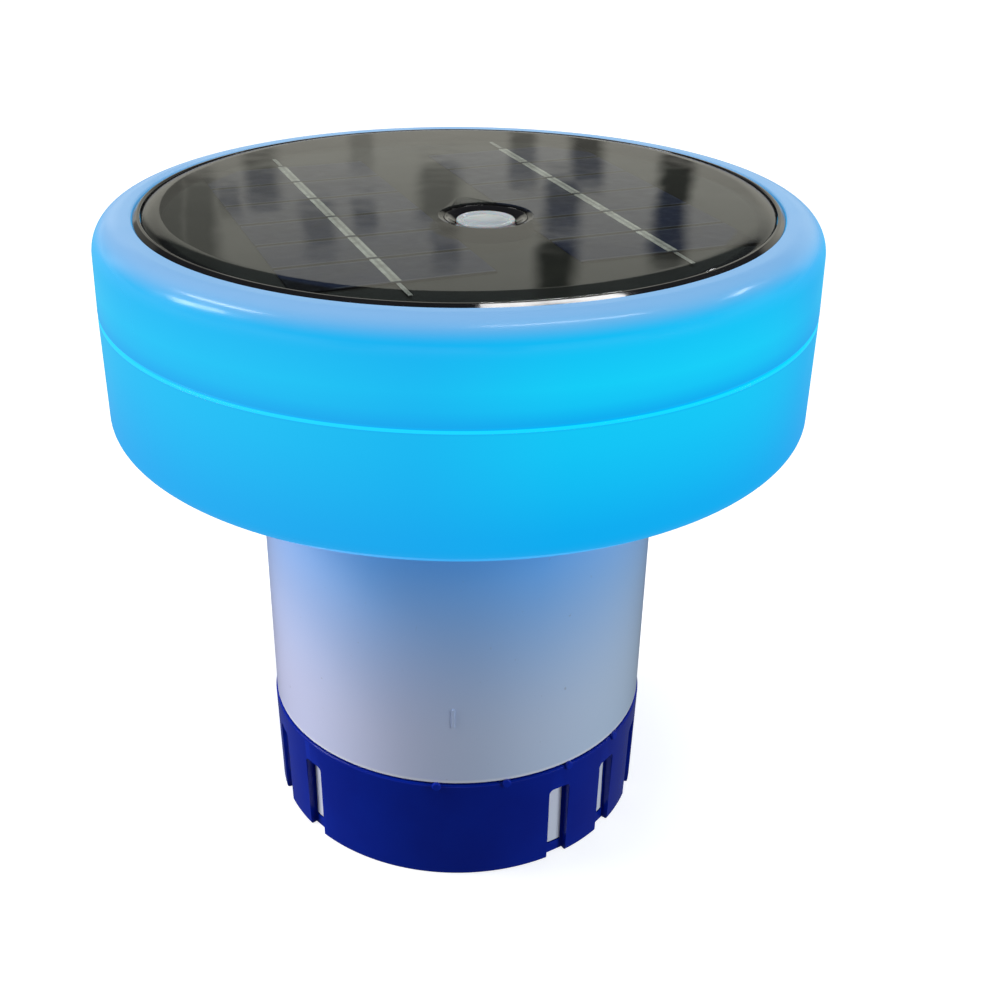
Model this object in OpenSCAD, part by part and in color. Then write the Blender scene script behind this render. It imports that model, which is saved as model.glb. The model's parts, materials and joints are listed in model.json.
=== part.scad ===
// Floating pool light with a tablet dispenser.
// A solar head floats on the water, lights up from inside and screws onto a
// slotted canister that holds cleaning tablets. A turning cap under the canister
// sets the flow. +Z is up, and the origin is the centre of the base.

/* [Overall] */
// Height of the whole object
total_h = 150; // [148:0.5:156]
// Widest radius of the float
float_r = 78; // [77:0.5:82]
// Wall thickness of the moulded shells
wall = 2.6; // [2.2:0.1:3]

/* [Canister] */
// Outer radius at the top of the canister
canister_r = 46.2; // [45.8:0.1:46.6]
// Height of the shoulder that the head screws down to
shoulder_z = 98; // [97:0.5:99]
// Height of the step that the flow cap turns under
step_z = 27.2; // [27:0.1:28]

/* [Flow slots] */
// Width of a slot
slot_w = 5.5; // [4:0.1:6.5]
// Height of the top of a slot
slot_top = 20.7; // [16:0.1:22]
// Angle between neighbouring slots, and between two settings
slot_pitch = 20; // [18:1:22]
// Angle of the middle slot of the first group
slot_angle = -38.3; // [-45:0.1:-30]

/* [Thread] */
// Rise of the head in one turn
lead = 12; // [11:0.5:13]
// Number of thread starts
starts = 3; // [3:1:3]

/* [Solar panel] */
// Turn of the cell strings about the vertical axis
panel_turn = 20; // [0:1:90]
// Width of one cell
cell_w = 39; // [30:0.5:39]
// Distance between cell centres along a string
cell_pitch = 15.2; // [12:0.1:15.2]
// Cells in one string
cells_per_string = 6; // [4:1:6]
// Distance of a string's centre line from the panel's centre
string_x = 28.2; // [24:0.1:28.2]

/* [Power button] */
// Radius of the button's cap
button_r = 6.1; // [5:0.1:6.1]
// Distance of the button from the panel's centre
button_y = -16.2; // [-18:0.1:-14]

/* [Hidden] */
$fn = 96;
eps = 0.01;

// Heights of the head, from the top down
lip_z = total_h - 0.9;
ledge_z = total_h - 4.4;
deck_t = 2.4;
seam_z = total_h - 20.4;
seal_t = 0.7;
chassis_z = seam_z - 3.6;
chassis_t = 2;
ceiling_z = shoulder_z + 16.5;
base_z = shoulder_z + 0.8;
side_z = base_z + 8.2;

// Radii of the head
inner_r = float_r - wall;
edge_r = 6.5;
recess_r = float_r - 8.9;
socket_r = canister_r - 1.2;
boss_place = 55;
boss_angles = [45, 135, 225, 315];
boss_r = 4.9;
pilot_r = 1.45;
clear_r = 1.7;

// Canister
canister_wall = 2.4;
foot_r = canister_r - 0.3;
low_r = foot_r - 1.95;
neck_r = canister_r - 3;
neck_top = shoulder_z + 13;
floor_z = 2.8;
bead_z = step_z - 3;

// Thread ribs
rib_out = neck_r + 1.4;
rib_in = socket_r - 1.4;

// Flow cap
cap_top = step_z - 0.4;
cap_bore = low_r + 0.15;
cap_floor = [1, 2.6];
groups = [0, 120, 240];
vent_shift = 60;
mark_angle = -95.7;

// Panel
panel_r = recess_r - 1.9;
dome_w = 6.2;
dome_drop = 1.5;
board_z = ledge_z + 0.6;
cell_z = board_z + 1.2;
cell_t = 0.3;
ribbon_z = cell_z + cell_t;
ribbon_t = 0.15;
string_len = cell_pitch * cells_per_string;
string_mid = 0.5;

// Power button
button_bore = button_r + 0.2;
button_z = total_h - 0.85;
bezel_r = button_bore + 2.3;
collar_low = board_z - 5.4;
collar_step = button_r + 1.5;
switch_z = board_z - 10.2;
pcb_t = 1.6;
switch_h = 3.5;

// Control board, light ring and battery
board_centre = [6, -18];
board_size = [46, 28];
board_holes = [for (x = [-1, 1], y = [-1, 1])
    board_centre + [x * (board_size[0] / 2 - 3), y * (board_size[1] / 2 - 3)]];
lamp_place = 66;
lamp_angles = [0, 90, 180, 270];
holder_y = 21;
battery_r = 7.1;
battery_len = 50.5;
battery_z = chassis_z + chassis_t + 1.5 + battery_r;

// Routes of the leads; each stops a little short of what it is soldered to
lead_gap = 0.25;
lead_end = 0.8;
panel_route = [[-24, 2, board_z - lead_gap], [-24, 2, board_z - 2], [-18, -4, switch_z + 7],
    [-8.25, -10, switch_z + 6.5], [-8.25, -10, switch_z + 3.2 + lead_gap]];
plus_route = [[26.5, 17, battery_z + 5.2], [26, 12, battery_z + 6.4], [22, 4, switch_z + 5.5],
    [17, -6, switch_z + 4], [17, -6, switch_z + lead_gap]];
minus_route = [[-26.5, 17, battery_z + 5.2], [-22, 11, battery_z + 6.4], [-10, 2, switch_z + 5.5],
    [-2, -6, switch_z + 4], [-2, -6, switch_z + lead_gap]];
lamp_route = [[-12, -18, switch_z - pcb_t - lead_gap], [-12, -18, switch_z - 3.5],
    [-24, -21, chassis_z + 4.6], [-40, -25, chassis_z + 4], [-46, -27.6, chassis_z + 1],
    [-49, -29.4, chassis_z - 2.6], [-52, -31, chassis_z - 4.4], [-54.8, -32.9, chassis_z - 4],
    [-54.8, -32.9, chassis_z - pcb_t - lead_gap]];

// Points on an elliptical arc
function arc(cx, cy, rx, ry, a0, a1, n = 8) =
    [for (i = [0:n]) let (a = a0 + (a1 - a0) * i / n) [cx + rx * cos(a), cy + ry * sin(a)]];

function flat(list) = [for (part = list) each part];
function unit(v) = v / norm(v);

// Closed solid through rings of points, with flat ends
module loft(rings) {
    n = len(rings[0]);
    last = (len(rings) - 1) * n;
    polyhedron(points = flat(rings), faces = concat(
        [[for (i = [0:n - 1]) i]],
        [for (k = [0:n:last - n], i = [0:n - 1]) [k + i, k + n + i, k + (i + 1) % n]],
        [for (k = [0:n:last - n], i = [0:n - 1])
            [k + (i + 1) % n, k + n + i, k + n + (i + 1) % n]],
        [[for (i = [n - 1:-1:0]) last + i]]));
}

// Directions across a path that turn with it and never flip
function carried(v, t) = unit(v - (v * t) * t);
function normals(ts) = [for (i = 0, v = carried(unit([3, 5, 8]), ts[0]); i < len(ts);
    i = i + 1, v = carried(v, ts[min(i, len(ts) - 1)])) v];

// Round wire along a list of points
module wire(path, r, sides = 8) {
    last = len(path) - 1;
    ts = [for (k = [0:last]) unit(path[min(k + 1, last)] - path[max(k - 1, 0)])];
    us = normals(ts);
    loft([for (k = [0:last]) [for (i = [0:sides - 1]) let (a = 360 * i / sides)
        path[k] + r * (us[k] * cos(a) + cross(ts[k], us[k]) * sin(a))]]);
}

// Smooth curve through a list of points
function spline(points, steps = 4) = let (last = len(points) - 1)
    [for (k = [0:last - 1], i = [0:steps - (k < last - 1 ? 1 : 0)])
        let (a = points[max(k - 1, 0)], b = points[k], c = points[k + 1],
             d = points[min(k + 2, last)], t = i / steps)
        (2 * b + (c - a) * t + (2 * a - 5 * b + 4 * c - d) * t * t
            + (3 * b - a - 3 * c + d) * t * t * t) / 2];

// Insulated lead along a route, moved aside as a whole, with straight ends
module lead_wire(route, aside = [0, 0, 0]) {
    points = [for (p = route) p + aside];
    last = len(points) - 1;
    first_bend = points[0] + lead_end * unit(points[1] - points[0]);
    last_bend = points[last] + lead_end * unit(points[last - 1] - points[last]);
    middle = [first_bend, for (k = [1:last - 1]) points[k], last_bend];
    wire(concat([points[0]], spline(middle), [points[last]]), 0.65);
}

// Helical rib that climbs with the thread, from root radius to crest radius
module thread_rib(root, crest, z0, a0, span, width) {
    steps = ceil(span / 6);
    out = crest > root;
    loft([for (i = [0:steps])
        let (a = a0 + span * i / steps, z = z0 + lead * span * i / steps / 360,
             taper = min(1, 0.25 + min(i, steps - i) / 2),
             c = root + (crest - root) * taper,
             w = width * (out ? -1 : 1))
        [for (p = [[root, -w / 2], [c, -w / 4], [c, w / 4], [root, w / 2]])
            [p[0] * cos(a), p[0] * sin(a), z + p[1]]]]);
}

module ring(r_out, r_in, z, h) {
    translate([0, 0, z]) difference() {
        cylinder(r = r_out, h = h);
        translate([0, 0, -1]) cylinder(r = r_in, h = h + 2);
    }
}

// Copies at the four screw bosses
module at_bosses() {
    for (a = boss_angles) rotate([0, 0, a]) translate([boss_place, 0, 0]) children();
}

// Places on the panel, turned with the cell strings
module on_panel() {
    rotate([0, 0, panel_turn]) children();
}

module at_button() {
    on_panel() translate([0, button_y, 0]) children();
}

// Screw with its head below and a cross recess
module screw(d, length, head_d, head_h) {
    difference() {
        union() {
            rotate_extrude() polygon(concat([[0, 0]],
                arc(0, head_h * 0.6, head_d / 2, head_h * 0.6, -80, 0, 6),
                [[head_d / 2, head_h], [0, head_h]]));
            cylinder(d = d, h = head_h + length - d / 2);
            translate([0, 0, head_h + length - d / 2 - eps]) cylinder(d1 = d, d2 = 0.6, h = d / 2);
        }
        for (a = [0, 90]) rotate([0, 0, a])
            translate([-head_d * 0.28, -head_d * 0.06, -1])
                cube([head_d * 0.56, head_d * 0.12, 1 + head_h * 0.6]);
    }
}

// Slot outline with rounded top corners, its middle on the Y axis
function slot_outline(w, h, r) = concat([[-w / 2, 0], [w / 2, 0]],
    arc(w / 2 - r, h - r, r, r, 0, 90, 4), arc(-w / 2 + r, h - r, r, r, 90, 180, 4));

// Radial cutter for one slot
module slot_cutter(angle, z0, z1, r0, r1) {
    rotate([0, 0, angle]) translate([r0, 0, z0]) rotate([90, 0, 90])
        linear_extrude(height = r1 - r0) polygon(slot_outline(slot_w, z1 - z0, 1));
}

module slots(offset_angle, z0, z1, r0, r1) {
    for (g = groups, k = [-1:1])
        slot_cutter(slot_angle + offset_angle + g + k * slot_pitch, z0, z1, r0, r1);
}

// Tablet canister: a cup with flow vents low down and a threaded neck
module tablet_canister() {
    inside = canister_r - canister_wall;
    low_in = low_r - canister_wall + 0.05;
    neck_in = neck_r - canister_wall;
    color("white") {
        difference() {
            rotate_extrude() polygon([[0, floor_z], [low_r - 0.5, floor_z], [low_r, floor_z + 0.5],
                [low_r, bead_z - 0.5], [low_r + 0.35, bead_z], [low_r, bead_z + 0.5],
                [low_r, step_z], [foot_r - 0.3, step_z], [foot_r, step_z + 0.3],
                [canister_r, shoulder_z - 0.3], [canister_r - 0.3, shoulder_z],
                [neck_r, shoulder_z], [neck_r, neck_top - 0.4], [neck_r - 0.4, neck_top],
                [neck_in + 0.4, neck_top], [neck_in, neck_top - 0.4], [neck_in, shoulder_z - 0.6],
                [inside, shoulder_z - 3.4], [inside - 0.3, step_z + 2.6], [low_in, step_z + 0.6],
                [low_in, floor_z + 2.4], [0, floor_z + 2.4]]);
            slots(vent_shift, floor_z + 3, slot_top, low_in - 1, low_r + 1);
        }
        for (s = [0:starts - 1])
            thread_rib(neck_r - 0.3, rib_out, shoulder_z + 3.5, 360 / starts * s, 198, 1.8);
        // Moulded index line that the cap's marks are set to
        rotate([0, 0, mark_angle + 4.7]) translate([foot_r - 0.5, -0.35, 43])
            cube([0.82, 0.7, 5]);
    }
}

// Flow cap: a shallow cup with open slots that snaps over the canister's foot
module flow_cap() {
    color("navy") difference() {
        union() {
            rotate_extrude() polygon([[0, cap_floor[0]], [cap_bore - 1.2, cap_floor[0]],
                [cap_bore - 0.2, 0], [foot_r - 0.7, 0], [foot_r - 0.2, 0.5],
                [canister_r + 0.05, cap_top - 0.7],
                [canister_r - 0.4, cap_top], [cap_bore + 0.4, cap_top], [cap_bore, cap_top - 0.4],
                [cap_bore, bead_z + 0.75], [cap_bore + 0.4, bead_z], [cap_bore, bead_z - 0.75],
                [cap_bore, cap_floor[1]], [0, cap_floor[1]]]);
            // Setting marks on the rim
            for (k = [0:3]) rotate([0, 0, mark_angle + k * slot_pitch])
                translate([foot_r + 0.12, 0, cap_top - 0.25]) rotate([0, 90, 0])
                    cylinder(r = 1.05, h = 0.75, $fn = 24);
            // Moulded rings and ribs under the floor
            for (r = [14, 30]) ring(r + 0.6, r - 0.6, 0.4, cap_floor[0] - 0.4 + eps);
            for (a = [0:60:300]) rotate([0, 0, a])
                translate([14, -0.6, 0.4]) cube([cap_bore - 15.5, 1.2, cap_floor[0] - 0.4 + eps]);
        }
        slots(0, -1, slot_top, cap_bore - 0.05, canister_r + 3);
    }
}

module neck_gasket() {
    color("dimgray") ring(canister_r - 0.2, rib_out + 0.15, shoulder_z, 0.8);
}

// Lower half of the float, with the threaded socket that takes the canister's neck
module lower_shell() {
    top = seam_z - seal_t / 2;
    socket_out = socket_r + 2.4;
    color("lightskyblue") {
        difference() {
            union() {
                rotate_extrude() polygon(concat(
                    [[0, ceiling_z], [socket_r, ceiling_z], [socket_r, base_z + 0.5],
                        [socket_r + 0.3, base_z], [socket_out + 2, base_z]],
                    arc(60.4, side_z, float_r - 60.4, side_z - base_z - 0.4, -90, 0, 12),
                    [[float_r, top - 0.25], [float_r - 0.25, top], [inner_r - 0.2, top],
                        [inner_r - 0.2, top + 3.4], [inner_r - 1.4, top + 3.4],
                        [inner_r - 1.4, top - 2.6], [inner_r, top - 4.2]],
                    arc(60.4, side_z, inner_r - 60.4, side_z - base_z - 2.8, 0, -90, 12),
                    [[socket_out, base_z + 2.7], [socket_out, ceiling_z + 2.4], [0, ceiling_z + 2.4]]));
                at_bosses() translate([0, 0, base_z + 1]) cylinder(r = boss_r, h = chassis_z - base_z - 1);
                // Webs that tie the bosses to the socket
                for (a = boss_angles) rotate([0, 0, a])
                    translate([socket_out - 0.5, -0.9, base_z + 2])
                        cube([boss_place - socket_out - boss_r + 1, 1.8, 14]);
            }
            at_bosses() {
                translate([0, 0, base_z - 1]) cylinder(r = 3.5, h = 14.2);
                translate([0, 0, base_z]) cylinder(r = clear_r, h = chassis_z);
            }
        }
        for (s = [0:starts - 1])
            thread_rib(socket_r + 0.3, rib_in, shoulder_z + 6.17, 360 / starts * s + 20, 60, 1.5);
    }
}

// Upper half of the float, with the recess that the panel lies in
module upper_shell() {
    low = seam_z + seal_t / 2;
    side_r = float_r - 0.3;
    deck_z = ledge_z - deck_t;
    color("lightskyblue") difference() {
        union() {
            rotate_extrude() polygon(concat(
                [[inner_r, low], [float_r - 0.45, low], [float_r - 0.15, low + 0.3], [float_r, low + 1]],
                arc(side_r - edge_r, lip_z - edge_r, edge_r, edge_r, 0, 90, 12),
                [[recess_r + 0.3, lip_z], [recess_r, lip_z - 0.3], [recess_r, ledge_z],
                    [50, ledge_z], [50, deck_z], [inner_r - 4, deck_z]],
                arc(inner_r - 4, deck_z - 4, 4, 4, 90, 0, 6)));
            at_bosses() translate([0, 0, chassis_z + chassis_t])
                cylinder(r = 3.6, h = deck_z - chassis_z - chassis_t + eps);
        }
        at_bosses() translate([0, 0, chassis_z]) cylinder(r = pilot_r, h = 12);
    }
}

// Gasket pressed between the two halves of the float
module shell_seal() {
    color("deepskyblue") ring(float_r - 0.2, inner_r + 0.2, seam_z - seal_t / 2, seal_t);
}

module shell_screws() {
    color("silver") at_bosses() translate([0, 0, base_z + 13.2 - 2.4]) screw(2.9, 25, 5.6, 2.4);
}

// White plate clamped between the bosses; everything electrical is fixed to it
module chassis_plate() {
    top = chassis_z + chassis_t;
    color("whitesmoke") difference() {
        union() {
            translate([0, 0, chassis_z]) cylinder(r = inner_r - 3.4, h = chassis_t);
            for (c = board_holes) translate([c[0], c[1], top - eps])
                cylinder(r = 2.6, h = switch_z - pcb_t - top + eps);
        }
        at_bosses() translate([0, 0, chassis_z - 1]) cylinder(r = clear_r, h = chassis_t + 2);
        for (c = board_holes) translate([c[0], c[1], switch_z - pcb_t - 5]) cylinder(r = 0.85, h = 6);
        for (a = lamp_angles) rotate([0, 0, a]) translate([lamp_place, 0, chassis_z - 1])
            cylinder(r = 0.85, h = chassis_t + 2);
        // Way through for the leads of the light ring
        translate([-46, -27.6, chassis_z - 1]) cylinder(r = 4, h = chassis_t + 2);
    }
}

module led_board() {
    color("seagreen") difference() {
        ring(lamp_place + 5, lamp_place - 5, chassis_z - pcb_t, pcb_t);
        for (a = lamp_angles) rotate([0, 0, a]) translate([lamp_place, 0, chassis_z - 3])
            cylinder(r = 1.1, h = 4);
    }
}

// Surface-mounted lamps under the ring
module leds() {
    body_h = 1.4;
    color("lightyellow") for (k = [0:11]) rotate([0, 0, 15 + 30 * k])
        translate([lamp_place, 0, chassis_z - pcb_t - body_h]) difference() {
            translate([-2.5, -2.5, 0]) cube([5, 5, body_h]);
            translate([0, 0, -0.1]) cylinder(r1 = 2.1, r2 = 1.5, h = 0.7);
        }
}

module control_board() {
    corner = board_centre - board_size / 2;
    color("darkgreen") difference() {
        translate([corner[0], corner[1], switch_z - pcb_t]) cube([board_size[0], board_size[1], pcb_t]);
        for (c = board_holes) translate([c[0], c[1], switch_z - pcb_t - 1])
            cylinder(r = 1.1, h = pcb_t + 2);
    }
}

// Parts soldered on top of the control board
module board_components() {
    chip = [9, 6, 1.5];
    color("dimgray") translate([board_centre[0], board_centre[1], switch_z]) {
        translate([-17, -4, 0]) cube(chip);
        for (y = [-5.2, 2.1], k = [0:4]) translate([-16.4 + 1.7 * k, y, 0]) cube([0.7, 1.1, 0.5]);
        translate([14, 5, 0]) cylinder(r = 2.5, h = 5.5);
        translate([12, -7, 0]) cylinder(r = 3.2, h = 2.8);
        translate([-4, -11, 0]) cube([4.5, 2.4, 1.2]);
        for (k = [0:3]) translate([-1.5 + 3 * k, -8, 0]) cube([2, 1.2, 0.7]);
        translate([-18, 6, 0]) cube([7.5, 4, 3.2]);
    }
}

module tact_switch() {
    color("black") at_button() translate([0, 0, switch_z]) difference() {
        translate([-3, -3, 0]) cube([6, 6, switch_h]);
        translate([0, 0, switch_h - 1.5]) cylinder(r = 1.75, h = 3);
    }
}

module switch_plunger() {
    color("dimgray") at_button() translate([0, 0, switch_z + switch_h - 0.5]) cylinder(r = 1.6, h = 2.1);
}

// Small screws of the control board, from above, and of the light ring, from below
module board_screws() {
    small_head = 1.4;
    color("silver") {
        for (c = board_holes) translate([c[0], c[1], switch_z + small_head]) rotate([180, 0, 0])
            screw(1.6, 5.5, 3.6, small_head);
        for (a = lamp_angles) rotate([0, 0, a]) translate([lamp_place, 0, chassis_z - pcb_t - small_head])
            screw(1.6, 3.4, 3.6, small_head);
    }
}

module battery() {
    shoulder = battery_len - 1.5;
    color("royalblue") translate([-battery_len / 2, holder_y, battery_z]) rotate([0, 90, 0])
        rotate_extrude() polygon([[0, 0], [battery_r - 0.6, 0], [battery_r, 0.6],
            [battery_r, shoulder - 0.6], [battery_r - 0.6, shoulder], [2.75, shoulder],
            [2.75, battery_len], [0, battery_len]]);
}

module battery_holder() {
    half = battery_len / 2 + 3.6;
    depth = battery_r + 0.3;
    base = chassis_z + chassis_t;
    color("black") difference() {
        translate([-half, holder_y - depth - 1.5, base]) cube([2 * half, 2 * depth + 3, 12]);
        translate([-half + 1.5, holder_y - depth, base + 1.4]) cube([2 * half - 3, 2 * depth, 12]);
        for (y = [-depth - 3, depth - 1]) translate([-18, holder_y + y, base + 6]) cube([36, 4, 10]);
    }
}

// Spring at one end of the battery and plate at the other
module battery_contacts() {
    x0 = -battery_len / 2 - 2;
    turns = 2.25;
    color("silver") {
        translate([x0 - 0.1, holder_y - 5, battery_z - 5]) cube([0.3, 10, 10]);
        translate([battery_len / 2 + 0.05, holder_y - 5, battery_z - 5]) cube([0.3, 10, 10]);
        wire([for (i = [0:27]) let (a = 360 * turns * i / 27, r = 4.2 - 1.7 * i / 27)
            [x0 + 0.35 + 1.3 * i / 27, holder_y + r * cos(a), battery_z + r * sin(a)]], 0.3, 6);
    }
}

// One colour of each pair: panel to board, battery to board, and board to light ring
module leads(side) {
    lead_wire(panel_route, side * [1.2, 0.6, 0]);
    lead_wire(side > 0 ? plus_route : minus_route);
    lead_wire(lamp_route, side * [0.6, -1, 0]);
}

module leads_red() {
    color("red") leads(1);
}

module leads_black() {
    color("black") leads(-1);
}

module panel_gasket() {
    color("black") ring(panel_r - 0.2, panel_r - 8, ledge_z, 0.6);
}

module panel_board() {
    color("darkslategray") difference() {
        translate([0, 0, board_z]) cylinder(r = panel_r, h = 1.2);
        at_button() translate([0, 0, board_z - 1]) cylinder(r = bezel_r, h = 4);
    }
}

// Every cell on its own, in two strings
module cell_blocks() {
    on_panel() for (s = [-1, 1], k = [0:cells_per_string - 1])
        translate([s * string_x - cell_w / 2, string_mid - string_len / 2 + cell_pitch * k + 0.15, cell_z])
            cube([cell_w, cell_pitch - 0.3, cell_t]);
}

module solar_cells() {
    color("midnightblue") cell_blocks();
}

// Tinned ribbons along the strings, with narrow tails
module ribbon_strips() {
    on_panel() for (s = [-1, 1]) translate([s * string_x, string_mid, ribbon_z]) {
        translate([-1, -string_len / 2, 0]) cube([2, string_len, ribbon_t]);
        translate([-0.6, -string_len / 2 - 8, 0]) cube([1.2, string_len + 16, ribbon_t]);
    }
}

module cell_ribbons() {
    color("beige") ribbon_strips();
}

// Clear resin cast over the cells, with a soft domed edge
module panel_resin() {
    color("#404448") difference() {
        rotate_extrude() polygon(concat([[0, cell_z], [panel_r, cell_z]],
            arc(panel_r - dome_w, total_h - dome_drop, dome_w, dome_drop, 0, 90, 10), [[0, total_h]]));
        cell_blocks();
        ribbon_strips();
        at_button() {
            translate([0, 0, cell_z - 1]) cylinder(r = bezel_r, h = 6);
            translate([0, 0, total_h - 0.25]) cylinder(r1 = bezel_r, r2 = bezel_r + 1.2, h = 0.5);
        }
    }
}

// Narrow black ring that closes the gap between the panel and the shell
module panel_bezel() {
    r_in = panel_r + 0.1;
    r_out = recess_r - 0.1;
    half = (r_out - r_in) / 2;
    color("black") rotate_extrude() polygon(concat([[r_in, ledge_z], [r_out, ledge_z]],
        arc(r_in + half, lip_z + 0.3 - half, half, half, 0, 180, 8)));
}

// Black collar that guides the button and holds it from below; its top falls
// towards the button like a shallow funnel
module button_bezel() {
    outer = bezel_r - 0.05;
    wide = bezel_r + 1.4;
    flange = board_z - 1.4;
    color("black") at_button() rotate_extrude() polygon([[collar_step, collar_low], [outer, collar_low],
        [outer, flange], [wide, flange], [wide, board_z], [outer, board_z], [outer, total_h - 0.3],
        [bezel_r - 0.8, total_h - 0.55], [button_bore + 0.6, total_h - 1.15], [button_bore, total_h - 1.6],
        [button_bore, board_z - 1.2], [collar_step, board_z - 1.2]]);
}

// Translucent push button with a rounded rim and a low dome, and a flange that
// keeps it in its collar
module power_button() {
    bottom = switch_z + switch_h + 1.6;
    flange_r = button_r + 1.1;
    rim = 0.45;
    color("white") at_button() rotate_extrude() polygon(concat(
        [[0, bottom], [2.2, bottom], [2.2, board_z - 2.6], [flange_r, board_z - 2.6],
            [flange_r, board_z - 1.4], [button_r, board_z - 1.4]],
        arc(button_r - rim, button_z - rim, rim, rim, 0, 90, 4),
        [[button_r - 0.9, button_z], [button_r - 1.4, button_z - 0.25]],
        arc(0, button_z - 0.25, button_r - 1.6, 0.4, 0, 90, 6)));
}

tablet_canister();
flow_cap();
neck_gasket();
lower_shell();
upper_shell();
shell_seal();
shell_screws();
chassis_plate();
led_board();
leds();
control_board();
board_components();
tact_switch();
switch_plunger();
board_screws();
battery();
battery_holder();
battery_contacts();
leads_red();
leads_black();
panel_gasket();
panel_board();
solar_cells();
cell_ribbons();
panel_resin();
panel_bezel();
button_bezel();
power_button();
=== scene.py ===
"""Looks of the floating pool light: a glowing float with a solar panel over a tablet canister.

Lengths of the pieces are in millimetres until a mesh is made, and follow the CAD frame. Lights and the
camera are placed in metres.
"""
import json
import math

import bmesh
import bpy
from mathutils import Matrix, Quaternion, Vector


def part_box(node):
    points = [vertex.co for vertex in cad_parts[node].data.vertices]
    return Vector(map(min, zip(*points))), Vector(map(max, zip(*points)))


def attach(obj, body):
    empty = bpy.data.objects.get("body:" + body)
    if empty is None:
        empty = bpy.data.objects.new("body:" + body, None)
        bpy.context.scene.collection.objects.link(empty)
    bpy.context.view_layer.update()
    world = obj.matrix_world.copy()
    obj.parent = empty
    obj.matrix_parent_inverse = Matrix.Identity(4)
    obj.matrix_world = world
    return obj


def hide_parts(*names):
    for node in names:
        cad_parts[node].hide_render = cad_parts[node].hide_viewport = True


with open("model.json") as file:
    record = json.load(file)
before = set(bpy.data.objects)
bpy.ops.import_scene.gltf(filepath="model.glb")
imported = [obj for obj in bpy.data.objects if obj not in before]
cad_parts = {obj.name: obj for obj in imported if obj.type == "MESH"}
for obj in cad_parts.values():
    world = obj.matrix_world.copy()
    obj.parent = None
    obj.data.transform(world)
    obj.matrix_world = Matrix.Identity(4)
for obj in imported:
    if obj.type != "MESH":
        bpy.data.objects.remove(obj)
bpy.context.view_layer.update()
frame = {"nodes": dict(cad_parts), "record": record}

MM = 0.001

# Segments of a full turn of the wide rings and of the small ones, and degrees for each step of a fillet
SEGMENTS = 256
SMALL_SEGMENTS = 128
FILLET_STEP = 9


def low(node):
    """Lowest corner of a CAD node, in millimetres."""
    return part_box(node)[0] / MM


def high(node):
    """Highest corner of a CAD node, in millimetres."""
    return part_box(node)[1] / MM


# ---------------------------------------------------------------- sizes
# Steps and clearances between neighbouring pieces
GASKET_GAP = 0.2
PANEL_FIT = 0.1
CAP_FIT = 0.15
CAP_GAP = 0.4
CANISTER_DRAFT = 0.3
STEP_DEEP = 1.95
NECK_STEP = 3.0
SOCKET_STEP = 1.2
BEAD_DROP = 3.0
THREAD_DEEP = 1.4

# Float
LIP_Z = high("upper_shell").z
SEAM_Z = (low("shell_seal").z + high("shell_seal").z) / 2
SEAM_HALF = 0.22
BASE_Z = low("lower_shell").z
FLOAT_R = high("lower_shell").x
SHELL_WALL = 2.6
CHASSIS_Z = low("chassis_plate").z

# Canister and its neck thread
SHOULDER_Z = low("neck_gasket").z
NECK_TOP = high("tablet_canister").z
CANISTER_R = high("neck_gasket").x + GASKET_GAP
FOOT_R = CANISTER_R - CANISTER_DRAFT
LOW_R = FOOT_R - STEP_DEEP
CANISTER_WALL = 2.4
NECK_R = CANISTER_R - NECK_STEP
SOCKET_R = CANISTER_R - SOCKET_STEP
FLOOR_Z = low("tablet_canister").z
LEAD = 12.0
THREAD_STARTS = 3
RIB_OUT = NECK_R + THREAD_DEEP

# Flow cap
CAP_TOP = 26.8
STEP_Z = CAP_TOP + CAP_GAP
BEAD_Z = STEP_Z - BEAD_DROP
CAP_BORE = LOW_R + CAP_FIT

# Slots of the flow cap and vents of the canister; angles in degrees
SLOT_W = 5.5
SLOT_TOP = 20.7
SLOT_PITCH = 20.0
SLOT_ANGLE = -38.3
GROUPS = (0, 120, 240)
VENT_SHIFT = 60.0
MARK_ANGLE = -95.7
MARKS = 4

# Panel
TOP = high("panel_resin").z
RIM_TOP = high("panel_bezel").z
RECESS_R = high("panel_bezel").x + PANEL_FIT
PANEL_R = high("panel_gasket").x + GASKET_GAP
LEDGE_Z = low("panel_gasket").z
BOARD_Z = low("panel_board").z
CELL_Z = low("solar_cells").z
RIBBON_Z = low("cell_ribbons").z
DOME_W = 4.2
DOME_DROP = 1.5
PANEL_TURN = math.radians(20)
CELL_W = 39.0
CELL_PITCH = 15.2
CELL_GAP = 0.3
CELL_T = 0.3
CELLS = 6
STRING_X = 28.2
STRING_MID = 0.5
SIDES = ((-1, "left"), (1, "right"))

# Button and its collar
BUTTON_AT = (high("power_button") + low("power_button")) / 2
BUTTON_Z = high("power_button").z
BUTTON_R = 6.1
BUTTON_BORE = BUTTON_R + 0.2
COLLAR_WALL = 2.3
COLLAR_R = BUTTON_BORE + COLLAR_WALL

# Screw bosses, angles in degrees
BOSS_PLACE = 55.0
BOSS_ANGLES = (45, 135, 225, 315)
WELL_DEEP = 13.2
WELL_MOUTH = 4.0


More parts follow.
